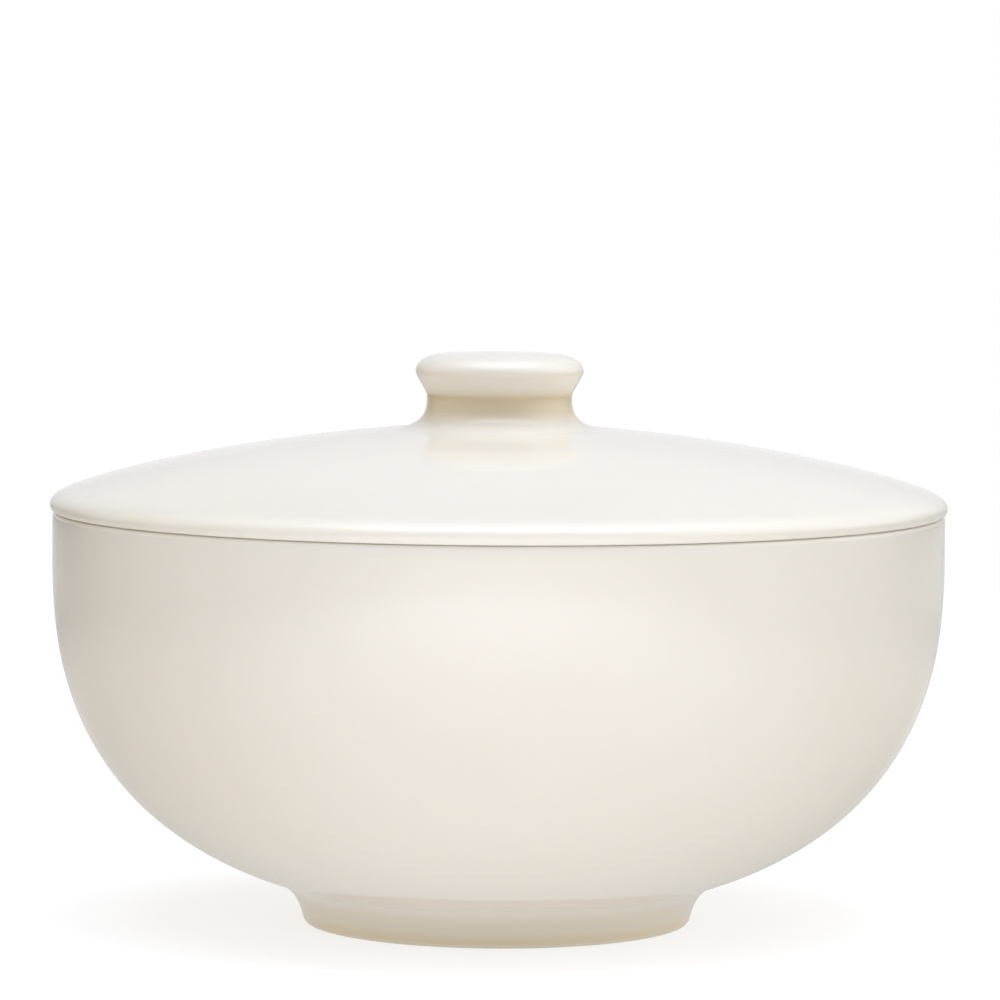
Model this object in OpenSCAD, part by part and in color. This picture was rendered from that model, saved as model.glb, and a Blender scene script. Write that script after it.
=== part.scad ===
// Donburi bowl with lid: a deep glazed bowl on a foot ring, and a domed lid with a bead-edged knob.
// Each piece is one outline turned about the Z axis. The table is Z = 0, and lengths are in millimetres.

/* [Bowl] */
// Outside diameter at the mouth
bowl_d = 160; // [130:1:200]
// Height of the rim above the table
bowl_h = 74; // [60:0.5:100]
// Straight band of wall under the rim
bowl_band_h = 7.3; // [6:0.1:14]
// Height of the wall curve's lowest point, which the foot ring hides
bowl_base_z = 2.9; // [2:0.1:4.5]
// Fullness of the wall curve: 2 is an ellipse, more is squarer
bowl_curve_power = 2.5; // [2:0.05:3]
// Wall thickness at the rim
bowl_wall_t = 4; // [3.2:0.1:6]
// Thickness of the floor inside the foot ring
bowl_floor_t = 4.6; // [3.5:0.1:8]
// Rounding of the rim's outer edge
rim_outer_r = 0.8; // [0.5:0.1:1.6]
// Rounding of the rim's inner edge
rim_inner_r = 1; // [0.5:0.1:1.4]

/* [Foot ring] */
// Outside diameter where the ring stands on the table
foot_d = 69.4; // [56:0.2:84]
// Width of the ring at the table
foot_t = 4.6; // [3:0.1:8]
// Depth of the recess inside the ring
foot_recess_h = 4.8; // [4.2:0.1:6]
// Outward lean of the ring's outer wall, in degrees
foot_lean = 16; // [0:1:25]
// Reach of the fillet between the ring and the bowl's wall, past the ring
foot_fillet_w = 6.3; // [3:0.1:9]
// Rounding of the ring's two edges at the table
foot_edge_r = 0.6; // [0.3:0.1:1.2]
// Rounding of the corner inside the recess
foot_recess_r = 2; // [1:0.1:3]

/* [Lid] */
// How far the lid's edge stands out past the bowl
lid_overhang = 0.45; // [0:0.05:2]
// Height of the lid's edge, from its seat to the start of the dome
lid_edge_h = 4.15; // [3:0.05:7]
// Width of the rounded shoulder between the edge and the dome
lid_shoulder_w = 3.25; // [2:0.05:8]
// Rise of the dome from its start to its crown, under the knob
lid_crown_h = 11.75; // [8:0.05:20]
// Rounding of the lid's lower outer edge
lid_edge_r = 1.4; // [0.6:0.1:2]
// Thickness of the dome
lid_wall_t = 4; // [3:0.1:6]

/* [Lid flange] */
// How far the flange reaches down into the bowl's mouth
flange_h = 4.5; // [3:0.1:6]
// Thickness of the flange
flange_t = 3.4; // [2.6:0.1:5]
// Clearance round the flange inside the mouth
flange_gap = 0.8; // [0.4:0.1:2]
// Rounding of the flange's lower edges
flange_edge_r = 1.1; // [0.5:0.1:1.3]
// Rounding in the corner between the flange and the lid's seat
flange_root_r = 0.6; // [0.2:0.05:0.7]
// Rounding in the corner between the flange and the dome's underside
flange_inner_r = 2.4; // [1:0.1:3]

/* [Knob] */
// Diameter of the knob's bead
knob_d = 30.2; // [28:0.1:44]
// Diameter of the knob's neck
knob_neck_d = 26.1; // [21:0.1:29]
// Height of the knob's top above the dome's crown
knob_h = 12.6; // [11:0.05:20]
// Height above the dome's crown at which the fillet under the neck ends
knob_neck_h = 4; // [3:0.05:7]
// Height of the straight neck above that fillet, up to the slanted underside of the bead
knob_neck_top_h = 1.3; // [0.8:0.05:2]
// Rounding of the corner between the neck and that underside
knob_corner_r = 0.5; // [0.2:0.05:0.7]
// Height of the bead, from its widest level to the knob's top
knob_bead_h = 3.2; // [2:0.05:4.5]
// Width of the bead's round upper edge
knob_bead_w = 5.2; // [3:0.1:9]
// Depth of the bead's lower edge, below its widest level
knob_bead_low_h = 0.5; // [0.3:0.05:1.2]
// Rise of the knob's top inside the round edge
knob_crown_h = 0.15; // [0.05:0.05:0.6]
// Reach of the fillet between the neck and the dome, past the neck
knob_fillet_w = 5.7; // [3:0.05:10]
// Wall thickness round the hollow inside the knob
knob_wall_t = 4.8; // [3.5:0.1:7]
// Thickness of the knob's top over the hollow
knob_top_t = 5.4; // [4:0.1:8]
// Rounding at the closed end of the hollow
knob_hollow_r = 4; // [2:0.1:5]
// Rounding at the hollow's mouth, under the dome
knob_mouth_r = 3; // [1:0.1:5]

/* [Hidden] */
$fn = 96;
glaze_colour = [0.95, 0.93, 0.88];

// Points along each kind of curve
wall_steps = 36;
dome_steps = 24;
bead_steps = 14;
bend_steps = 8;

// The foot's fillet takes at most this share of the ring's outer wall
foot_fillet_most_share = 0.9;
// How much of the bead's slanted underside is taken up by the rounding at the bead
knob_bead_round_share = 0.14;
// Shape of the dome: the power with which its middle falls, and the share and the power of the fall at its shoulder
dome_power = 1.7;
dome_shoulder_share = 0.1;
dome_shoulder_power = 8;
// Shape of the fillet under the neck: how far its handles reach to the corner, along the dome and the neck
knob_fillet_dome_share = 0.77;
knob_fillet_neck_share = 0.52;

// Radii of the bowl, its mouth and its foot ring
bowl_r = bowl_d / 2;
mouth_r = bowl_r - bowl_wall_t;
foot_r = foot_d / 2;
recess_r = foot_r - foot_t;

// Levels of the bowl: where the wall starts to curve in, and the floor inside
widest_z = bowl_h - bowl_band_h;
floor_z = foot_recess_h + bowl_floor_t;

// Where the foot's fillet meets the bowl's wall, and the corner that it rounds
foot_fillet_end_r = foot_r + foot_fillet_w;
foot_fillet_end = [foot_fillet_end_r, wall_z(foot_fillet_end_r, bowl_r, bowl_base_z)];
foot_fillet_slope = wall_slope(foot_fillet_end_r, bowl_r, bowl_base_z);
foot_corner_z = (foot_fillet_end.y - foot_fillet_slope * foot_fillet_w)
    / (1 - foot_fillet_slope * tan(foot_lean));
foot_corner = [foot_r + foot_corner_z * tan(foot_lean), foot_corner_z];
foot_up = [sin(foot_lean), cos(foot_lean)];
foot_wall_l = foot_corner_z / cos(foot_lean);
foot_fillet_l = min(norm(foot_fillet_end - foot_corner),
                    (foot_wall_l - foot_edge_r) * foot_fillet_most_share);

// Lid: it seats flat on the bowl's rim, and its flange hangs in the mouth
seat_z = bowl_h;
lid_r = bowl_r + lid_overhang;
flange_r = mouth_r - flange_gap;
flange_in_r = flange_r - flange_t;
flange_low_z = seat_z - flange_h;

// Dome: where it starts at the shoulder, and its crown
dome_start = [lid_r - lid_shoulder_w, seat_z + lid_edge_h];
crown_z = dome_start.y + lid_crown_h;

// Knob
knob_r = knob_d / 2;
knob_neck_r = knob_neck_d / 2;
knob_top_z = crown_z + knob_h;
knob_neck_z = crown_z + knob_neck_h;
knob_bead_z = knob_top_z - knob_bead_h;
knob_fillet_r = knob_neck_r + knob_fillet_w;
knob_bead_corner = [knob_r, knob_bead_z - knob_bead_low_h];
knob_neck_corner = [knob_neck_r, knob_neck_z + knob_neck_top_h];
hollow_r = knob_neck_r - knob_wall_t;
hollow_top_z = knob_top_z - knob_top_t;
hollow_mouth_r = hollow_r + knob_mouth_r;

// Wall curve: a superellipse that hangs from widest_z, where its radius is r_max, down to low_z
function wall_z(r, r_max, low_z) =
    widest_z - (widest_z - low_z) * pow(1 - pow(r / r_max, bowl_curve_power), 1 / bowl_curve_power);

function wall_slope(r, r_max, low_z) =
    (widest_z - low_z) / r_max * pow(r / r_max, bowl_curve_power - 1)
    * pow(1 - pow(r / r_max, bowl_curve_power), 1 / bowl_curve_power - 1);

// Place on the wall curve at an angle: 0 at its widest level, 90 on the axis
function wall_point(angle, r_max, low_z) =
    [r_max * pow(cos(angle), 2 / bowl_curve_power),
     widest_z - (widest_z - low_z) * pow(sin(angle), 2 / bowl_curve_power)];

function wall_angle(r, r_max) = acos(pow(r / r_max, bowl_curve_power / 2));

// Dome: its height, its slope, the height of its underside, and points between two radii, without their ends
function dome_z(r) =
    let (u = r / dome_start.x)
    crown_z - lid_crown_h * ((1 - dome_shoulder_share) * pow(u, dome_power)
                             + dome_shoulder_share * pow(u, dome_shoulder_power));

function dome_slope(r) =
    let (u = r / dome_start.x)
    -lid_crown_h / dome_start.x
        * ((1 - dome_shoulder_share) * dome_power * pow(u, dome_power - 1)
           + dome_shoulder_share * dome_shoulder_power * pow(u, dome_shoulder_power - 1));

function under_z(r) = dome_z(r) - lid_wall_t;

function dome_points(r_from, r_to, down = 0) =
    [for (i = [1 : dome_steps - 1])
        let (r = r_from + (r_to - r_from) * i / dome_steps)
        [r, dome_z(r) - down]];

// Rounded corner from one point to another, with its corner between them
function bend(from, corner, to) =
    [for (i = [0 : bend_steps])
        let (t = i / bend_steps)
        from * (1 - t) * (1 - t) + corner * 2 * t * (1 - t) + to * t * t];

// Curve between two points, each with a handle that it leaves or arrives along, without its last point
function s_bend(from, from_handle, to_handle, to) =
    [for (i = [0 : bead_steps - 1])
        let (t = i / bead_steps, u = 1 - t)
        from * u * u * u + from_handle * 3 * t * u * u + to_handle * 3 * t * t * u + to * t * t * t];

// Foot ring, from the recess on the axis round to the end of the fillet
function foot_outline() = concat(
    [[0, foot_recess_h]],
    bend([recess_r - foot_recess_r, foot_recess_h], [recess_r, foot_recess_h],
         [recess_r, foot_recess_h - foot_recess_r]),
    bend([recess_r, foot_edge_r], [recess_r, 0], [recess_r + foot_edge_r, 0]),
    bend([foot_r - foot_edge_r, 0], [foot_r, 0], [foot_r, 0] + foot_up * foot_edge_r),
    bend(foot_corner - foot_up * foot_fillet_l, foot_corner, foot_fillet_end));

// Outside of the wall, from the foot's fillet up to the band
function wall_outside() =
    let (a_from = wall_angle(foot_fillet_end_r, bowl_r))
    [for (i = [1 : wall_steps]) wall_point(a_from * (1 - i / wall_steps), bowl_r, bowl_base_z)];

function rim_outline() = concat(
    bend([bowl_r, bowl_h - rim_outer_r], [bowl_r, bowl_h], [bowl_r - rim_outer_r, bowl_h]),
    bend([mouth_r + rim_inner_r, bowl_h], [mouth_r, bowl_h], [mouth_r, bowl_h - rim_inner_r]));

// Inside of the wall, from the band down to a flat disc on the axis
function wall_inside() =
    let (points = [for (i = [0 : wall_steps - 1]) wall_point(90 * i / wall_steps, mouth_r, floor_z)])
    concat(points, [[0, points[wall_steps - 1].y]]);

// Underside of the lid, from the knob's hollow out to the flange
function lid_underside() = concat(
    [[0, hollow_top_z]],
    bend([hollow_r - knob_hollow_r, hollow_top_z], [hollow_r, hollow_top_z],
         [hollow_r, hollow_top_z - knob_hollow_r]),
    bend([hollow_r, under_z(hollow_r) + knob_mouth_r], [hollow_r, under_z(hollow_r)],
         [hollow_mouth_r, under_z(hollow_mouth_r)]),
    dome_points(hollow_mouth_r, flange_in_r - flange_inner_r, lid_wall_t),
    bend([flange_in_r - flange_inner_r, under_z(flange_in_r - flange_inner_r)],
         [flange_in_r, under_z(flange_in_r)],
         [flange_in_r, under_z(flange_in_r) - flange_inner_r]));

function flange_outline() = concat(
    bend([flange_in_r, flange_low_z + flange_edge_r], [flange_in_r, flange_low_z],
         [flange_in_r + flange_edge_r, flange_low_z]),
    bend([flange_r - flange_edge_r, flange_low_z], [flange_r, flange_low_z],
         [flange_r, flange_low_z + flange_edge_r]),
    bend([flange_r, seat_z - flange_root_r], [flange_r, seat_z], [flange_r + flange_root_r, seat_z]));

// Lid's edge: the lower rounding, then the shoulder up to the dome
function lid_edge() =
    let (widest = [lid_r, seat_z + lid_edge_r],
         shoulder_z = dome_start.y + dome_slope(dome_start.x) * lid_shoulder_w,
         shoulder = bend(widest, [lid_r, shoulder_z], dome_start))
    concat(
        bend([lid_r - lid_edge_r, seat_z], [lid_r, seat_z], widest),
        [for (i = [1 : bend_steps]) shoulder[i]]);

// Knob, from the dome up the neck, out under the bead and over its top to a flat disc on the axis
function knob_outline() =
    let (fillet_end = [knob_fillet_r, dome_z(knob_fillet_r)],
         fillet_corner = [knob_neck_r, fillet_end.y - dome_slope(knob_fillet_r) * knob_fillet_w],
         neck = [knob_neck_r, knob_neck_z],
         underside = knob_bead_corner - knob_neck_corner,
         top_r = knob_r - knob_bead_w,
         bead_edge = [for (i = [1 : bead_steps])
             let (a = 90 * i / bead_steps)
             [top_r + knob_bead_w * cos(a), knob_bead_z + (knob_bead_h - knob_crown_h) * sin(a)]],
         crown = [for (i = [1 : bead_steps - 1])
             let (a = 180 * i / bead_steps)
             [top_r * (1 - i / bead_steps), knob_top_z - knob_crown_h * (1 + cos(a)) / 2]])
    concat(
        s_bend(fillet_end, fillet_end + (fillet_corner - fillet_end) * knob_fillet_dome_share,
               neck + (fillet_corner - neck) * knob_fillet_neck_share, neck),
        [neck],
        bend(knob_neck_corner - [0, knob_corner_r], knob_neck_corner,
             knob_neck_corner + underside * knob_corner_r / norm(underside)),
        bend(knob_bead_corner - underside * knob_bead_round_share, knob_bead_corner, [knob_r, knob_bead_z]),
        bead_edge,
        crown,
        [[0, crown[bead_steps - 2].y]]);

// The bowl, with its foot ring and the flat rim that the lid seats on
module bowl() {
    color(glaze_colour)
        rotate_extrude()
            polygon(concat(foot_outline(), wall_outside(), rim_outline(), wall_inside()));
}

// The lid, with its locating flange and its hollow knob
module lid() {
    color(glaze_colour)
        rotate_extrude()
            polygon(concat(lid_underside(), flange_outline(), lid_edge(),
                           dome_points(dome_start.x, knob_fillet_r), knob_outline()));
}

bowl();
lid();
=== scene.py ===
from math import cos, pi, radians, sin, sqrt, tan

import bpy
import numpy as np
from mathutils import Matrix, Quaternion, Vector


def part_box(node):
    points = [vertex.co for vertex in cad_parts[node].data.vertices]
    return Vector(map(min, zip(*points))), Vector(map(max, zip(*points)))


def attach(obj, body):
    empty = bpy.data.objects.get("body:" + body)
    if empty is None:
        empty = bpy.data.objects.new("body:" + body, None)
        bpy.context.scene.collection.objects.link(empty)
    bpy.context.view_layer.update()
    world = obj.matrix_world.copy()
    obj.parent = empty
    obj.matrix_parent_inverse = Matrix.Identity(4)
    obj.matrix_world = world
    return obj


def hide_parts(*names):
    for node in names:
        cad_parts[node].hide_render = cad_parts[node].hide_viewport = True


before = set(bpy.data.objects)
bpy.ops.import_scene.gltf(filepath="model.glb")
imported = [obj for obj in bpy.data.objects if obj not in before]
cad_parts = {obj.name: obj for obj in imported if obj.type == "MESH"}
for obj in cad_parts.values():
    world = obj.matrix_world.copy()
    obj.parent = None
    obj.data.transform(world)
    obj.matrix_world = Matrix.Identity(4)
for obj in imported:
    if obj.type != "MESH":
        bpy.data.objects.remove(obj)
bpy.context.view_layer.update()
bowl_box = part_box("bowl")
lid_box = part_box("lid")

# Bowl: the mouth's radius and the rim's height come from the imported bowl
BOWL_R = bowl_box[1].x
RIM_Z = bowl_box[1].z
BOWL_WALL = 0.004
BOWL_FLOOR = 0.0046
BOWL_BAND = 0.0073          # straight wall under the rim
WALL_BASE_Z = 0.0029        # lowest point of the outside curve, hidden by the foot ring
WALL_POWER = 2.5            # fullness of the wall curve: 2 is an ellipse, more is squarer
RIM_OUTER_ROUND = 0.0008
RIM_INNER_ROUND = 0.001

# Foot ring
FOOT_R = 0.0347
FOOT_T = 0.0046
FOOT_RECESS = 0.0048
FOOT_LEAN = radians(16)
FOOT_FILLET = 0.0063        # reach of the fillet past the ring
FOOT_FILLET_MOST_SHARE = 0.9  # of the ring's outer wall
FOOT_EDGE_ROUND = 0.0006
RECESS_ROUND = 0.002

# Lid: it seats on the rim, and its flange hangs in the mouth
LID_R = lid_box[1].x
FLANGE_LOW_Z = lid_box[0].z
LID_EDGE = 0.00415
LID_SHOULDER = 0.00325
LID_CROWN = 0.01175
DOME_POWER = 1.7            # the power with which the dome's middle falls
DOME_SHOULDER_SHARE = 0.1   # share of the fall that is left to the shoulder
DOME_SHOULDER_POWER = 8
LID_EDGE_ROUND = 0.0014
LID_WALL = 0.004
FLANGE_T = 0.0034
FLANGE_GAP = 0.0008
FLANGE_EDGE_ROUND = 0.0011
FLANGE_ROOT_ROUND = 0.0006
FLANGE_INNER_ROUND = 0.0024

# Knob, with heights over the dome's crown
KNOB_TOP_Z = lid_box[1].z
KNOB_R = 0.0151
NECK_R = 0.01305
NECK_UP = 0.004             # where the fillet under the neck ends
NECK_TOP_UP = 0.0013        # straight neck above that, up to the slanted underside of the bead
NECK_CORNER_ROUND = 0.0005
BEAD_H = 0.0032
BEAD_W = 0.0052             # width of the bead's round upper edge
BEAD_LOW = 0.0005           # bead below its widest level
BEAD_ROUND_SHARE = 0.14     # of the slanted underside
KNOB_CROWN = 0.00015        # rise of the knob's top inside the round edge
NECK_FILLET = 0.0057
FILLET_DOME_SHARE = 0.77    # reach of the fillet's handles to its corner
FILLET_NECK_SHARE = 0.52
KNOB_WALL = 0.0048
KNOB_TOP_T = 0.0054
HOLLOW_ROUND = 0.004
HOLLOW_MOUTH_ROUND = 0.003

# Glaze: its thickness, and where it ends on the two edges that stood on the kiln shelf
GLAZE_T = 0.00015
GLAZE_LIP = 0.0003          # height over which the end of the glaze rounds off
FOOT_GLAZE_LINE = 0.0004    # above the standing face
FLANGE_GLAZE_LINE = 0.0006  # above the flange's lower edge
GLAZE_WANDER = 0.00022      # how far the glaze line strays up and down
GLAZE_WANDER_LENGTH = 0.011
GLAZE_WANDER_SPREAD = 0.00035  # height over which the glaze next to the line strays with it
GLAZE_FLOW = 0.0009         # distance over which glaze runs away from an edge or into a corner
GLAZE_STEEP_POWER = 4       # how fast a pool in a corner thins out as its ground gets level
GLAZE_GATHER = 0.004        # height over which glaze that ran down gathered above its lower end
GLAZE_FULL_BEND = 0.0045    # radius of a corner that holds as much glaze as it can, and gets the full pooled colour and painted shade
GLAZE_CREAM = "#F3ECE0"
GLAZE_CLOUD = "#EFE7D9"
GLAZE_THIN = "#F6F1E7"
GLAZE_THIN_SHARE = 0.3      # of the thin colour, where the glaze is thinnest
# Deeper cream where the glaze pooled, and painted shade: it darkens the corners, most of all the knob's neck
# under the bead, where shade falls
GLAZE_POOLED_AND_SHADE = "#E2D0A8"
GLAZE_POOLED_AND_SHADE_SHARE = 0.9    # of the pooled colour, where the glaze is deepest; in the corners this is also painted shade
BOWL_WANDER_SEED = 3.0
LID_WANDER_SEED = 8.0

# Bare clay, on those two edges
CLAY_PALE = "#E3DACA"
CLAY_STAINED = "#D3C7B3"
CLAY_GRIT = "#EFE8DB"

# Grains in the materials are given in millimetres
MM_PER_M = 1000

# Mesh of the turned pieces
FACETS = 192
LONGEST_ROW = 0.0011
WALL_ROWS = 100
DOME_ROWS = 72
BEND_ROWS = 12
WELD = 0.000002

# Studio: the softbox overhead, the table's sheet, and two lists of soft lights. A pool in the table has its
# centre, the two radii between which it fades, its strength and its colour. A glow of the room has its
# azimuth and elevation in degrees, the cosine of the angle to its edge, its strength and its colour.
LIGHT_AIM = Vector((0, 0, 0.06))
SOFTBOX_AZIMUTH = 5         # degrees, from the photographed front to the right
SOFTBOX_ELEVATION = 77      # degrees
SOFTBOX_AWAY = 1.2
SOFTBOX_W = 1.25
SOFTBOX_H = 0.8
SOFTBOX_WATTS = 2.7
SOFTBOX_COLOUR = "#D6E5FF"
TABLE_R = 1.6
TABLE_CORNERS = 96
TABLE_FADE_FROM = 0.2       # the sheet fades out between these two radii
TABLE_FADE_TO = 0.8
TABLE_PAPER = "#A8A8A8"
TABLE_LIT = 0.68            # glow of the sheet itself, which keeps its shadow faint
TABLE_POOLS = (
    ((0, 0, 0), 0.15, 0.5, 0.56, "#FFFCF6"),
    ((0.05, -0.75, 0), 0.2, 0.75, 0.82, "#FFFFFF"),
    ((0.01, -0.5, 0), 0.1, 0.55, 1.97, "#EFF3FF"),
    ((0.08, 0.8, 0), 0.3, 0.9, 0.64, "#FFFFFF"),
    ((0, 1.5, 0), 0.2, 0.6, 0.5, "#FFFFFF"),
)
ROOM_GLOWS = (
    (5, 86, 0.8, 1.76, "#E9F1FF"),
    (5, 80, 0.4, 0.82, "#EBF2FF"),
    (-100, 33, 0.5, 0.46, "#FFF9ED"),
    (105, 32, 0.5, 0.78, "#FFFFFF"),
    (-80, 12, 0.6, 0.5, "#FFF7E8"),
    (80, 12, 0.6, 0.84, "#FFFFFF"),
    (-45, 5, 0.75, 0.21, "#FFFFFF"),
    (45, 5, 0.75, 0.05, "#FFFFFF"),
    (180, 5, 0.7, 0.67, "#FFFFFF"),
    (180, -2, 0.97, 0.14, "#FFFFFF"),
)

# Camera, as the photograph has it
CAMERA_AWAY = 0.95
CAMERA_UP = radians(4.02)
CAMERA_ROLL = radians(0.35)
CAMERA_AIM = Vector((0.0002, 0, 0.07603))
CAMERA_LENS = 190.2         # millimetres, on a sensor 36 wide


def at(r, z):
    """Point of an outline: its radius and its height."""
    return np.array([r, z])


def bend(start, corner, end):
    """Rounded corner from one point to another, both included."""
    t = np.linspace(0, 1, BEND_ROWS + 1)[:, None]
    return start * (1 - t) ** 2 + corner * 2 * t * (1 - t) + end * t ** 2


def s_bend(start, start_handle, end_handle, end):
    """Curve between two points that leaves and arrives along its handles."""
    t = np.linspace(0, 1, 2 * BEND_ROWS + 1)[:, None]
    u = 1 - t
    return start * u ** 3 + start_handle * 3 * t * u ** 2 + end_handle * 3 * t ** 2 * u + end * t ** 3


def joined(*stretches):
    """Outline through the stretches in order, with no point twice and no row longer than LONGEST_ROW."""
    points = np.vstack([np.atleast_2d(s) for s in stretches])
    rows = [points[0]]
    for point in points[1:]:
        run = np.linalg.norm(point - rows[-1])
        if run > WELD:
            count = int(np.ceil(run / LONGEST_ROW))
            rows.extend(rows[-1] + (point - rows[-1]) * np.linspace(0, 1, count + 1)[1:, None])
    return np.array(rows)


def standing_ring(r_in, r_out, low_z, edge_round, glaze_line, lean=0.0):
    """Lower edge that stood on the kiln shelf: bare below the glaze line, where the glaze ends in a lip."""
    line_z = low_z + glaze_line
    lip_z = line_z + GLAZE_LIP
    out_line = at(r_out + glaze_line * tan(lean), line_z)
    out_lip = at(r_out + (glaze_line + GLAZE_LIP) * tan(lean), lip_z)
    in_bare = at(r_in + GLAZE_T, line_z)
    out_bare = out_line - at(GLAZE_T, 0)
    return np.vstack([
        bend(at(r_in, lip_z), at(r_in, line_z), in_bare),
        bend(in_bare, at(r_in + GLAZE_T, low_z), at(r_in + edge_round, low_z)),
        bend(at(r_out - edge_round, low_z), at(r_out - GLAZE_T, low_z), out_bare),
        bend(out_bare, out_line, out_lip),
    ])


def wall_curve(angles, r_max, low_z):
    """Superellipse of the wall: angle 0 at its widest level, a right angle on the axis."""
    widest_z = RIM_Z - BOWL_BAND
    r = r_max * np.cos(angles).clip(0) ** (2 / WALL_POWER)
    z = widest_z - (widest_z - low_z) * np.sin(angles).clip(0) ** (2 / WALL_POWER)
    return np.stack([r, z], 1)


def bowl_outline():
    """From the axis under the bowl, round the foot, up the outside, over the rim and inside to the axis."""
    # The fillet leaves the ring's leaning wall and meets the outside curve along its tangent
    widest_z = RIM_Z - BOWL_BAND
    drop = widest_z - WALL_BASE_Z
    fillet_r = FOOT_R + FOOT_FILLET
    part = (fillet_r / BOWL_R) ** WALL_POWER
    fillet_end = at(fillet_r, widest_z - drop * (1 - part) ** (1 / WALL_POWER))
    slope = drop / fillet_r * part * (1 - part) ** (1 / WALL_POWER - 1)
    corner_z = (fillet_end[1] - slope * FOOT_FILLET) / (1 - slope * tan(FOOT_LEAN))
    corner = at(FOOT_R + corner_z * tan(FOOT_LEAN), corner_z)
    fillet_run = min(np.linalg.norm(fillet_end - corner),
                     (corner_z / cos(FOOT_LEAN) - FOOT_EDGE_ROUND) * FOOT_FILLET_MOST_SHARE)
    fillet_start = corner - at(sin(FOOT_LEAN), cos(FOOT_LEAN)) * fillet_run
    recess_r = FOOT_R - FOOT_T
    mouth_r = BOWL_R - BOWL_WALL
    outside = np.linspace(np.arccos(sqrt(part)), 0, WALL_ROWS)
    inside = np.linspace(0, pi / 2, WALL_ROWS)
    return joined(
        at(0, FOOT_RECESS),
        bend(at(recess_r - RECESS_ROUND, FOOT_RECESS), at(recess_r, FOOT_RECESS),
             at(recess_r, FOOT_RECESS - RECESS_ROUND)),
        standing_ring(recess_r, FOOT_R, 0, FOOT_EDGE_ROUND, FOOT_GLAZE_LINE, FOOT_LEAN),
        bend(fillet_start, corner, fillet_end),
        wall_curve(outside, BOWL_R, WALL_BASE_Z),
        bend(at(BOWL_R, RIM_Z - RIM_OUTER_ROUND), at(BOWL_R, RIM_Z),
             at(BOWL_R - RIM_OUTER_ROUND, RIM_Z)),
        bend(at(mouth_r + RIM_INNER_ROUND, RIM_Z), at(mouth_r, RIM_Z),
             at(mouth_r, RIM_Z - RIM_INNER_ROUND)),
        wall_curve(inside, mouth_r, FOOT_RECESS + BOWL_FLOOR),
    )


def lid_outline():
    """From the axis in the knob's hollow, out under the dome, round flange and edge, and up over the knob."""
    dome_start = at(LID_R - LID_SHOULDER, RIM_Z + LID_EDGE)
    crown_z = dome_start[1] + LID_CROWN
    down = at(0, LID_WALL)

    def dome(r):
        u = r / dome_start[0]
        middle = (1 - DOME_SHOULDER_SHARE) * u ** DOME_POWER
        shoulder = DOME_SHOULDER_SHARE * u ** DOME_SHOULDER_POWER
        return np.stack([r, crown_z - LID_CROWN * (middle + shoulder)], -1)

    def dome_rows(r_from, r_to):
        return dome(np.linspace(r_from, r_to, DOME_ROWS))

    def slope(r):
        u = r / dome_start[0]
        middle = (1 - DOME_SHOULDER_SHARE) * DOME_POWER * u ** (DOME_POWER - 1)
        shoulder = DOME_SHOULDER_SHARE * DOME_SHOULDER_POWER * u ** (DOME_SHOULDER_POWER - 1)
        return -LID_CROWN / dome_start[0] * (middle + shoulder)

    hollow_r = NECK_R - KNOB_WALL
    hollow_top_z = KNOB_TOP_Z - KNOB_TOP_T
    hollow_mouth_r = hollow_r + HOLLOW_MOUTH_ROUND
    flange_r = BOWL_R - BOWL_WALL - FLANGE_GAP
    flange_in_r = flange_r - FLANGE_T
    under_end_r = flange_in_r - FLANGE_INNER_ROUND
    flange_corner = dome(flange_in_r) - down
    hollow_corner = dome(hollow_r) - down
    underside = [
        at(0, hollow_top_z),
        bend(at(hollow_r - HOLLOW_ROUND, hollow_top_z), at(hollow_r, hollow_top_z),
             at(hollow_r, hollow_top_z - HOLLOW_ROUND)),
        bend(hollow_corner + at(0, HOLLOW_MOUTH_ROUND), hollow_corner, dome(hollow_mouth_r) - down),
        dome_rows(hollow_mouth_r, under_end_r) - down,
        bend(dome(under_end_r) - down, flange_corner, flange_corner - at(0, FLANGE_INNER_ROUND)),
        standing_ring(flange_in_r, flange_r, FLANGE_LOW_Z, FLANGE_EDGE_ROUND, FLANGE_GLAZE_LINE),
        bend(at(flange_r, RIM_Z - FLANGE_ROOT_ROUND), at(flange_r, RIM_Z),
             at(flange_r + FLANGE_ROOT_ROUND, RIM_Z)),
    ]

    widest = at(LID_R, RIM_Z + LID_EDGE_ROUND)
    shoulder_corner = at(LID_R, dome_start[1] + slope(dome_start[0]) * LID_SHOULDER)
    fillet_r = NECK_R + NECK_FILLET
    fillet_end = dome(fillet_r)
    fillet_corner = at(NECK_R, fillet_end[1] - slope(fillet_r) * NECK_FILLET)
    neck = at(NECK_R, crown_z + NECK_UP)
    neck_corner = neck + at(0, NECK_TOP_UP)
    bead_z = KNOB_TOP_Z - BEAD_H
    bead_corner = at(KNOB_R, bead_z - BEAD_LOW)
    slant = bead_corner - neck_corner
    top_r = KNOB_R - BEAD_W
    angles = np.linspace(0, pi / 2, 2 * BEND_ROWS)
    bead_edge = np.stack([top_r + BEAD_W * np.cos(angles),
                          bead_z + (BEAD_H - KNOB_CROWN) * np.sin(angles)], 1)
    crown = np.stack([top_r * (1 - 2 * angles / pi),
                      KNOB_TOP_Z - KNOB_CROWN * (1 + np.cos(2 * angles)) / 2], 1)
    return joined(
        *underside,
        bend(at(LID_R - LID_EDGE_ROUND, RIM_Z), at(LID_R, RIM_Z), widest),
        bend(widest, shoulder_corner, dome_start),
        dome_rows(dome_start[0], fillet_r),
        s_bend(fillet_end, fillet_end + (fillet_corner - fillet_end) * FILLET_DOME_SHARE,
               neck + (fillet_corner - neck) * FILLET_NECK_SHARE, neck),
        bend(neck_corner - at(0, NECK_CORNER_ROUND), neck_corner,
             neck_corner + slant * NECK_CORNER_ROUND / np.linalg.norm(slant)),
        bend(bead_corner - slant * BEAD_ROUND_SHARE, bead_corner, at(KNOB_R, bead_z)),
        bead_edge,
        crown,
    )


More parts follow.
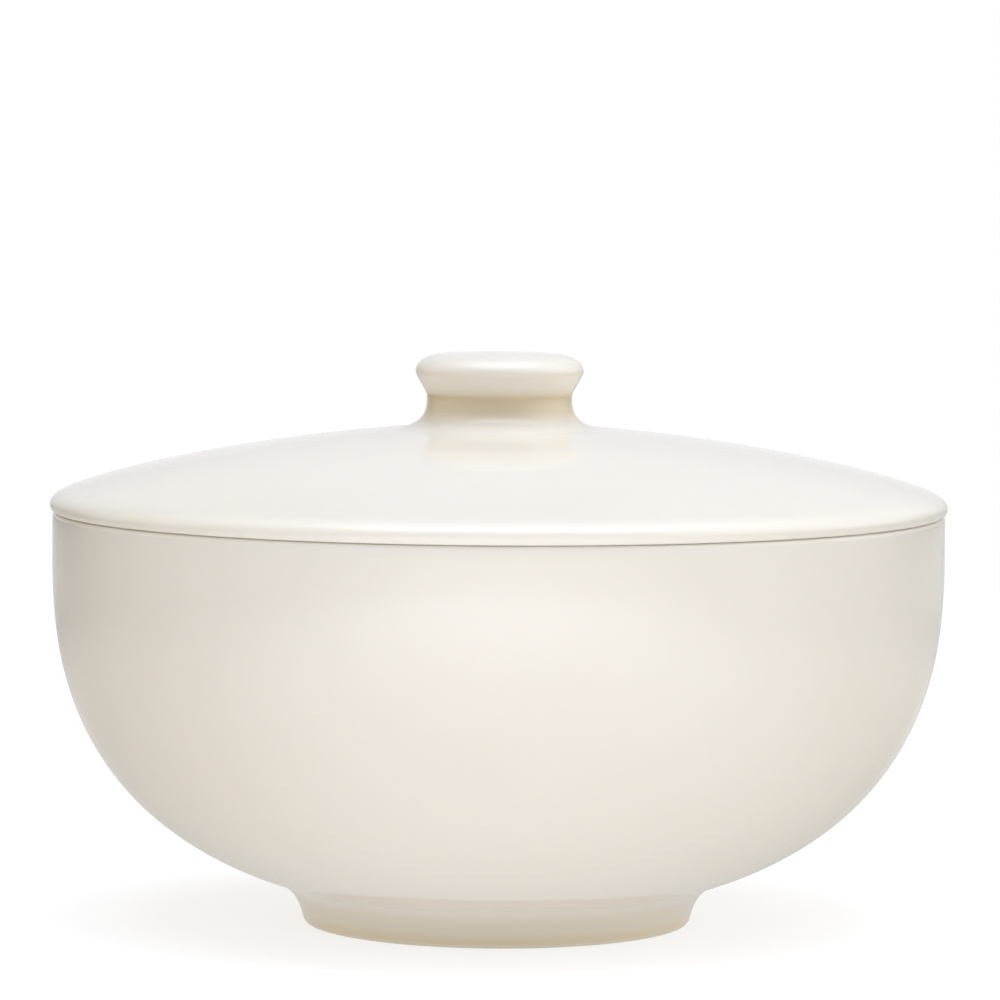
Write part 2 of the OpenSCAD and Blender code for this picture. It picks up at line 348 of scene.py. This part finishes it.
def glaze_pool_and_shade(rows, glaze_line):
    """How the glaze ran at each row of an outline: towards -1 thin on a sharp edge, towards 1 pooled in a
    corner or above its lower end.
    On level ground it spread out again, so only steep rows stay pooled. In the corners the pooled value is
    also painted shade, above all in the knob's neck under the bead."""
    runs = np.diff(rows, axis=0)
    along = np.concatenate([[0], np.cumsum(np.linalg.norm(runs, axis=1))])
    course = np.unwrap(np.arctan2(runs[:, 1], runs[:, 0]))
    turns = np.concatenate([[0], np.diff(course), [0]])
    apart = (along[:, None] - along[None, :]) / GLAZE_FLOW
    spread = np.exp(-apart ** 2 / 2) / (GLAZE_FLOW * sqrt(2 * pi))
    pool = (spread @ -turns * GLAZE_FULL_BEND).clip(-1, 1)
    row_course = np.concatenate([course[:1], (course[1:] + course[:-1]) / 2, course[-1:]])
    steep = np.sin(row_course) ** GLAZE_STEEP_POWER
    gathered = (1 - (rows[:, 1] - glaze_line) / GLAZE_GATHER).clip(0, 1)
    return np.maximum(np.where(pool > 0, pool * steep, pool), gathered * steep)


def linear(code):
    """sRGB hex colour as linear light, with full alpha."""
    shares = [int(code[i:i + 2], 16) / 255 for i in (1, 3, 5)]
    return tuple(s / 12.92 if s <= 0.04045 else ((s + 0.055) / 1.055) ** 2.4 for s in shares) + (1.0,)


def add(tree, kind, inputs=None, **settings):
    """Adds a node with its settings; each input, by name or place, is a value or the output linked to it."""
    made = tree.nodes.new(kind)
    for name, value in settings.items():
        setattr(made, name, value)
    for name, value in (inputs or {}).items():
        if isinstance(value, bpy.types.NodeSocket):
            tree.links.new(value, made.inputs[name])
        else:
            made.inputs[name].default_value = value
    return made


def new_material(name):
    """Empty node material, and its output node."""
    material = bpy.data.materials.new(name)
    material.use_nodes = True
    material.node_tree.nodes.clear()
    return material, add(material.node_tree, "ShaderNodeOutputMaterial")


def ivory_glaze():
    """Glossy ivory glaze on porcelain: dipped and fired to glass, so it shows clear soft reflections,
    a faint cloudiness, paler edges where it ran thin and a deeper cream where it pooled, which in the
    corners, most of all the knob's neck under the bead, is also painted shade."""
    cloud_mm = 34
    peel_mm = 2.2
    ripple_mm = 19
    material, output = new_material("ivory_glaze_on_porcelain")
    tree = material.node_tree
    place = add(tree, "ShaderNodeTexCoord").outputs["Object"]
    # The pool attribute carries both the glaze's pooling and the painted shade of the corners
    pool = add(tree, "ShaderNodeAttribute", attribute_name="pool").outputs["Fac"]
    cloud = add(tree, "ShaderNodeTexNoise", {"Vector": place, "Scale": MM_PER_M / cloud_mm, "Detail": 3.0})
    cream = add(tree, "ShaderNodeMix", {"Factor": cloud.outputs["Fac"], "A": linear(GLAZE_CREAM),
                                        "B": linear(GLAZE_CLOUD)}, data_type="RGBA")
    thin_share = add(tree, "ShaderNodeMapRange", {"Value": pool, "From Min": 0.0, "From Max": -1.0,
                                                  "To Max": GLAZE_THIN_SHARE})
    thin = add(tree, "ShaderNodeMix", {"Factor": thin_share.outputs[0], "A": cream.outputs["Result"],
                                       "B": linear(GLAZE_THIN)}, data_type="RGBA")
    # Deeper cream where the glaze pooled; in the corners and the knob's neck this is also painted shade
    pool_and_shade_share = add(tree, "ShaderNodeMapRange", {"Value": pool, "From Min": 0.0, "From Max": 1.0,
                                                  "To Max": GLAZE_POOLED_AND_SHADE_SHARE})
    colour = add(tree, "ShaderNodeMix", {"Factor": pool_and_shade_share.outputs[0], "A": thin.outputs["Result"],
                                         "B": linear(GLAZE_POOLED_AND_SHADE)}, data_type="RGBA")
    ripple = add(tree, "ShaderNodeTexNoise", {"Vector": place, "Scale": MM_PER_M / ripple_mm, "Detail": 1.0})
    peel = add(tree, "ShaderNodeTexNoise", {"Vector": place, "Scale": MM_PER_M / peel_mm, "Detail": 2.0})
    broad = add(tree, "ShaderNodeBump", {"Height": ripple.outputs["Fac"],
                                         "Strength": 0.08, "Distance": 0.0003})
    relief = add(tree, "ShaderNodeBump", {"Height": peel.outputs["Fac"], "Normal": broad.outputs["Normal"],
                                          "Strength": 0.05, "Distance": 0.00005})
    shader = add(tree, "ShaderNodeBsdfPrincipled", {
        "Base Color": colour.outputs["Result"],
        "Roughness": 0.08,
        "IOR": 1.5,
        "Subsurface Weight": 0.25,
        "Subsurface Radius": (1.0, 0.75, 0.45),
        "Subsurface Scale": 0.0025,
        "Normal": relief.outputs["Normal"],
    })
    tree.links.new(shader.outputs["BSDF"], output.inputs["Surface"])
    return material


def bare_porcelain():
    """Bare porcelain, wiped clean of glaze before firing: matte, a little greyer, with a fine sandy grit
    (the grain is drawn coarser than the real one, so that it shows)."""
    grit_mm = 0.35
    stain_mm = 7
    material, output = new_material("bare_fired_porcelain")
    tree = material.node_tree
    place = add(tree, "ShaderNodeTexCoord").outputs["Object"]
    grit = add(tree, "ShaderNodeTexNoise", {"Vector": place, "Scale": MM_PER_M / grit_mm, "Detail": 2.0})
    stain = add(tree, "ShaderNodeTexNoise", {"Vector": place, "Scale": MM_PER_M / stain_mm, "Detail": 3.0})
    clay = add(tree, "ShaderNodeMix", {"Factor": stain.outputs["Fac"], "A": linear(CLAY_PALE),
                                       "B": linear(CLAY_STAINED)}, data_type="RGBA")
    colour = add(tree, "ShaderNodeMix", {"Factor": grit.outputs["Fac"], "A": clay.outputs["Result"],
                                         "B": linear(CLAY_GRIT)}, data_type="RGBA")
    relief = add(tree, "ShaderNodeBump", {"Height": grit.outputs["Fac"], "Strength": 0.4, "Distance": 0.0001})
    shader = add(tree, "ShaderNodeBsdfPrincipled", {
        "Base Color": colour.outputs["Result"],
        "Roughness": 0.8,
        "IOR": 1.45,
        "Normal": relief.outputs["Normal"],
    })
    tree.links.new(shader.outputs["BSDF"], output.inputs["Surface"])
    return material


def turning_tree():
    """Geometry nodes that turn an outline about the Z axis, as a potter's wheel does: each column of a grid
    is the outline, turned by its share of a full turn. Faces below the glaze line get the bare material."""
    tree = bpy.data.node_groups.new("turned_on_the_wheel", "GeometryNodeTree")
    sockets = {
        "Outline": "NodeSocketGeometry",
        "Facets": "NodeSocketInt",
        "Rows": "NodeSocketInt",
        "Weld": "NodeSocketFloat",
        "Glaze line": "NodeSocketFloat",
        "Wander": "NodeSocketFloat",
        "Wander length": "NodeSocketFloat",
        "Wander spread": "NodeSocketFloat",
        "Seed": "NodeSocketFloat",
        "Glaze": "NodeSocketMaterial",
        "Bare clay": "NodeSocketMaterial",
    }
    for name, kind in sockets.items():
        tree.interface.new_socket(name, in_out="INPUT", socket_type=kind)
    tree.interface.new_socket("Turned piece", in_out="OUTPUT", socket_type="NodeSocketGeometry")
    given = add(tree, "NodeGroupInput").outputs

    # Grid with a row for each point of the outline; its last column falls on the first
    columns = add(tree, "FunctionNodeIntegerMath", {0: given["Facets"], 1: 1}, operation="ADD")
    grid = add(tree, "GeometryNodeMeshGrid", {"Vertices X": columns.outputs[0], "Vertices Y": given["Rows"]})
    index = add(tree, "GeometryNodeInputIndex").outputs["Index"]
    row = add(tree, "FunctionNodeIntegerMath", {0: index, 1: given["Rows"]}, operation="MODULO").outputs[0]
    column = add(tree, "FunctionNodeIntegerMath", {0: index, 1: given["Rows"]}, operation="DIVIDE")
    turn = add(tree, "ShaderNodeMath", {0: column.outputs[0], 1: given["Facets"]}, operation="DIVIDE")
    angle = add(tree, "ShaderNodeMath", {0: turn.outputs[0], 1: 2 * pi}, operation="MULTIPLY")

    # Each corner of the grid takes its outline point, turned, and how the glaze ran there, which also holds
    # the painted shade of the corners
    here = add(tree, "GeometryNodeInputPosition").outputs["Position"]
    point = add(tree, "GeometryNodeSampleIndex", {"Geometry": given["Outline"], "Value": here, "Index": row},
                data_type="FLOAT_VECTOR")
    turned = add(tree, "ShaderNodeVectorRotate", {"Vector": point.outputs["Value"],
                                                  "Angle": angle.outputs[0]}, rotation_type="Z_AXIS")
    placed = add(tree, "GeometryNodeSetPosition", {"Geometry": grid.outputs["Mesh"],
                                                   "Position": turned.outputs["Vector"]})
    pool = add(tree, "GeometryNodeInputNamedAttribute", {"Name": "pool"}, data_type="FLOAT")
    row_pool_and_shade = add(tree, "GeometryNodeSampleIndex", {
        "Geometry": given["Outline"], "Value": pool.outputs["Attribute"], "Index": row,
    }, data_type="FLOAT")
    pooled = add(tree, "GeometryNodeStoreNamedAttribute", {
        "Geometry": placed.outputs["Geometry"], "Name": "pool", "Value": row_pool_and_shade.outputs["Value"],
    }, data_type="FLOAT", domain="POINT")
    welded = add(tree, "GeometryNodeMergeByDistance", {"Geometry": pooled.outputs["Geometry"],
                                                       "Distance": given["Weld"]})

    # The clay below the glaze line is marked as bare, and then the line strays up and down
    height = add(tree, "ShaderNodeSeparateXYZ", {"Vector": here}).outputs["Z"]
    is_bare = add(tree, "FunctionNodeCompare", {"A": height, "B": given["Glaze line"]},
                  data_type="FLOAT", operation="LESS_EQUAL")
    marked = add(tree, "GeometryNodeStoreNamedAttribute", {
        "Geometry": welded.outputs["Geometry"], "Name": "bare", "Value": is_bare.outputs["Result"],
    }, data_type="BOOLEAN", domain="POINT")
    off_line = add(tree, "ShaderNodeMath", {0: height, 1: given["Glaze line"]}, operation="SUBTRACT")
    distance = add(tree, "ShaderNodeMath", {0: off_line.outputs[0]}, operation="ABSOLUTE")
    near_line = add(tree, "ShaderNodeMapRange", {"Value": distance.outputs[0], "From Min": 0.0,
                                                 "From Max": given["Wander spread"],
                                                 "To Min": 1.0, "To Max": 0.0})
    coarseness = add(tree, "ShaderNodeMath", {0: 1.0, 1: given["Wander length"]}, operation="DIVIDE")
    noise = add(tree, "ShaderNodeTexNoise", {"Vector": here, "W": given["Seed"],
                                             "Scale": coarseness.outputs[0], "Detail": 2.0},
                noise_dimensions="4D")
    stray = add(tree, "ShaderNodeMapRange", {"Value": noise.outputs["Fac"], "To Min": -1.0, "To Max": 1.0})
    reach = add(tree, "ShaderNodeMath", {0: stray.outputs[0], 1: near_line.outputs[0]}, operation="MULTIPLY")
    shift = add(tree, "ShaderNodeMath", {0: reach.outputs[0], 1: given["Wander"]}, operation="MULTIPLY")
    offset = add(tree, "ShaderNodeCombineXYZ", {"Z": shift.outputs[0]})
    strayed = add(tree, "GeometryNodeSetPosition", {"Geometry": marked.outputs["Geometry"],
                                                    "Offset": offset.outputs["Vector"]})

    # Smooth shading and the two materials
    smooth = add(tree, "GeometryNodeSetShadeSmooth", {"Geometry": strayed.outputs["Geometry"]})
    real = add(tree, "GeometryNodeRealizeInstances", {"Geometry": smooth.outputs["Geometry"]})
    glazed = add(tree, "GeometryNodeSetMaterial", {"Geometry": real.outputs["Geometry"],
                                                   "Material": given["Glaze"]})
    bare = add(tree, "GeometryNodeInputNamedAttribute", {"Name": "bare"}, data_type="BOOLEAN")
    finished = add(tree, "GeometryNodeSetMaterial", {"Geometry": glazed.outputs["Geometry"],
                                                     "Selection": bare.outputs["Attribute"],
                                                     "Material": given["Bare clay"]})
    add(tree, "NodeGroupOutput", {"Turned piece": finished.outputs["Geometry"]})
    return tree


def turned_piece(name, tree, rows, glaze_line, seed, glaze, clay):
    """Plain mesh object made by turning an outline: its rows carry how the glaze ran, and the painted shade
    of its corners.
    """
    outline = bpy.data.meshes.new(name + "_outline")
    outline.from_pydata([(r, 0, z) for r, z in rows], [(i, i + 1) for i in range(len(rows) - 1)], [])
    outline.attributes.new("pool", "FLOAT", "POINT").data.foreach_set("value", glaze_pool_and_shade(rows, glaze_line))
    piece = bpy.data.objects.new(name, outline)
    bpy.context.scene.collection.objects.link(piece)
    wheel = piece.modifiers.new("wheel", "NODES")
    wheel.node_group = tree
    values = {
        "Facets": FACETS,
        "Rows": len(rows),
        "Weld": WELD,
        "Glaze line": glaze_line + WELD,
        "Wander": GLAZE_WANDER,
        "Wander length": GLAZE_WANDER_LENGTH,
        "Wander spread": GLAZE_WANDER_SPREAD,
        "Seed": seed,
        "Glaze": glaze,
        "Bare clay": clay,
    }
    for socket in tree.interface.items_tree:
        if socket.in_out == "INPUT" and socket.name in values:
            wheel[socket.identifier] = values[socket.name]
    seen = piece.evaluated_get(bpy.context.evaluated_depsgraph_get())
    mesh = bpy.data.meshes.new_from_object(seen)
    piece.modifiers.remove(wheel)
    piece.data = mesh
    mesh.name = name
    bpy.data.meshes.remove(outline)
    return piece


def heading(azimuth, elevation):
    """Direction out of the object, in degrees: azimuth 0 is the photographed front, 90 the right."""
    a, e = radians(azimuth), radians(elevation)
    return Vector((sin(a) * cos(e), -cos(a) * cos(e), sin(e)))


def softbox():
    """Rectangular studio light overhead, which faces the object and stays out of the picture."""
    data = bpy.data.lights.new("overhead_softbox", "AREA")
    data.shape = "RECTANGLE"
    data.size = SOFTBOX_W
    data.size_y = SOFTBOX_H
    data.energy = SOFTBOX_WATTS
    data.color = linear(SOFTBOX_COLOUR)[:3]
    light = bpy.data.objects.new("overhead_softbox", data)
    light.location = LIGHT_AIM + heading(SOFTBOX_AZIMUTH, SOFTBOX_ELEVATION) * SOFTBOX_AWAY
    light.rotation_euler = (LIGHT_AIM - light.location).to_track_quat("-Z", "Y").to_euler()
    light.visible_camera = False
    bpy.context.scene.collection.objects.link(light)


def joined_light(tree, light, more):
    """Sum of two lights' shaders, or the second one where there is no first one yet."""
    if light is None:
        return more
    return add(tree, "ShaderNodeAddShader", {0: light, 1: more}).outputs["Shader"]


def pale_floor():
    """Lit shooting table: the camera sees white paper with a soft shadow, which fades into the white round
    it. Soft pools of light in the table light the object and show in its glaze. From below it is clear."""
    material, output = new_material("white_shooting_table")
    tree = material.node_tree
    place = add(tree, "ShaderNodeTexCoord").outputs["Object"]
    away = add(tree, "ShaderNodeVectorMath", {0: place}, operation="LENGTH")
    fade = add(tree, "ShaderNodeMapRange", {"Value": away.outputs["Value"], "From Min": TABLE_FADE_FROM,
                                            "From Max": TABLE_FADE_TO}, interpolation_type="SMOOTHSTEP")
    below = add(tree, "ShaderNodeNewGeometry").outputs["Backfacing"]
    gone = add(tree, "ShaderNodeMath", {0: fade.outputs[0], 1: below}, operation="MAXIMUM")
    matt = add(tree, "ShaderNodeBsdfDiffuse", {"Color": linear(TABLE_PAPER)})
    lit = add(tree, "ShaderNodeEmission", {"Strength": TABLE_LIT})
    paper = add(tree, "ShaderNodeAddShader", {0: matt.outputs["BSDF"], 1: lit.outputs["Emission"]})
    clear = add(tree, "ShaderNodeBsdfTransparent")
    sheet = add(tree, "ShaderNodeMixShader", {"Fac": gone.outputs[0], 1: paper.outputs["Shader"],
                                              2: clear.outputs["BSDF"]})
    light = None
    for centre, fade_from, fade_to, strength, colour in TABLE_POOLS:
        distance = add(tree, "ShaderNodeVectorMath", {0: place, 1: centre}, operation="DISTANCE")
        pool = add(tree, "ShaderNodeMapRange", {"Value": distance.outputs["Value"], "From Min": fade_from,
                                                "From Max": fade_to, "To Min": strength, "To Max": 0.0},
                   interpolation_type="SMOOTHSTEP")
        glow = add(tree, "ShaderNodeEmission", {"Color": linear(colour), "Strength": pool.outputs[0]})
        light = joined_light(tree, light, glow.outputs["Emission"])
    seen = add(tree, "ShaderNodeLightPath").outputs["Is Camera Ray"]
    table = add(tree, "ShaderNodeMixShader", {"Fac": seen, 1: light, 2: sheet.outputs["Shader"]})
    tree.links.new(table.outputs["Shader"], output.inputs["Surface"])
    turns = np.arange(TABLE_CORNERS) * 2 * pi / TABLE_CORNERS
    mesh = bpy.data.meshes.new("floor")
    mesh.from_pydata([(TABLE_R * cos(a), TABLE_R * sin(a), 0) for a in turns], [], [range(len(turns))])
    mesh.materials.append(material)
    floor = bpy.data.objects.new("floor", mesh)
    bpy.context.scene.collection.objects.link(floor)


def studio():
    """Dim room with wide soft glows above and all round; the camera sees plain white."""
    world = bpy.data.worlds.new("studio")
    world.use_nodes = True
    tree = world.node_tree
    tree.nodes.clear()
    facing = add(tree, "ShaderNodeTexCoord").outputs["Generated"]
    light = None
    for azimuth, elevation, edge, strength, colour in ROOM_GLOWS:
        towards = heading(azimuth, elevation)
        near = add(tree, "ShaderNodeVectorMath", {0: facing, 1: towards}, operation="DOT_PRODUCT")
        glow = add(tree, "ShaderNodeMapRange", {"Value": near.outputs["Value"], "From Min": edge,
                                                "To Max": strength}, interpolation_type="SMOOTHSTEP")
        room = add(tree, "ShaderNodeBackground", {"Color": linear(colour), "Strength": glow.outputs[0]})
        light = joined_light(tree, light, room.outputs["Background"])
    white = add(tree, "ShaderNodeBackground", {"Color": linear("#FFFFFF"), "Strength": 1.0})
    seen = add(tree, "ShaderNodeLightPath").outputs["Is Camera Ray"]
    shown = add(tree, "ShaderNodeMixShader", {"Fac": seen, 1: light, 2: white.outputs["Background"]})
    add(tree, "ShaderNodeOutputWorld", {"Surface": shown.outputs["Shader"]})
    bpy.context.scene.world = world
    bpy.context.scene.view_settings.view_transform = "Standard"


def camera():
    """Camera at the photographed angle: a long lens, a little above the rim, with a slight roll."""
    data = bpy.data.cameras.new("camera")
    data.lens = CAMERA_LENS
    eye = bpy.data.objects.new("camera", data)
    back = Vector((0, -cos(CAMERA_UP), sin(CAMERA_UP)))
    eye.location = CAMERA_AIM + back * CAMERA_AWAY
    facing = back.to_track_quat("Z", "Y") @ Quaternion((0, 0, 1), CAMERA_ROLL)
    eye.rotation_euler = facing.to_euler()
    bpy.context.scene.collection.objects.link(eye)
    bpy.context.scene.camera = eye


# Pieces: each rides on its node and stands in for it
glaze = ivory_glaze()
clay = bare_porcelain()
wheel_tree = turning_tree()
bowl = turned_piece("bowl_glazed", wheel_tree, bowl_outline(), FOOT_GLAZE_LINE,
                    BOWL_WANDER_SEED, glaze, clay)
lid = turned_piece("lid_glazed", wheel_tree, lid_outline(), FLANGE_LOW_Z + FLANGE_GLAZE_LINE,
                   LID_WANDER_SEED, glaze, clay)
for piece, node in ((bowl, "bowl"), (lid, "lid")):
    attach(piece, node)
    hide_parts(node)

# Studio and camera
pale_floor()
studio()
softbox()
camera()
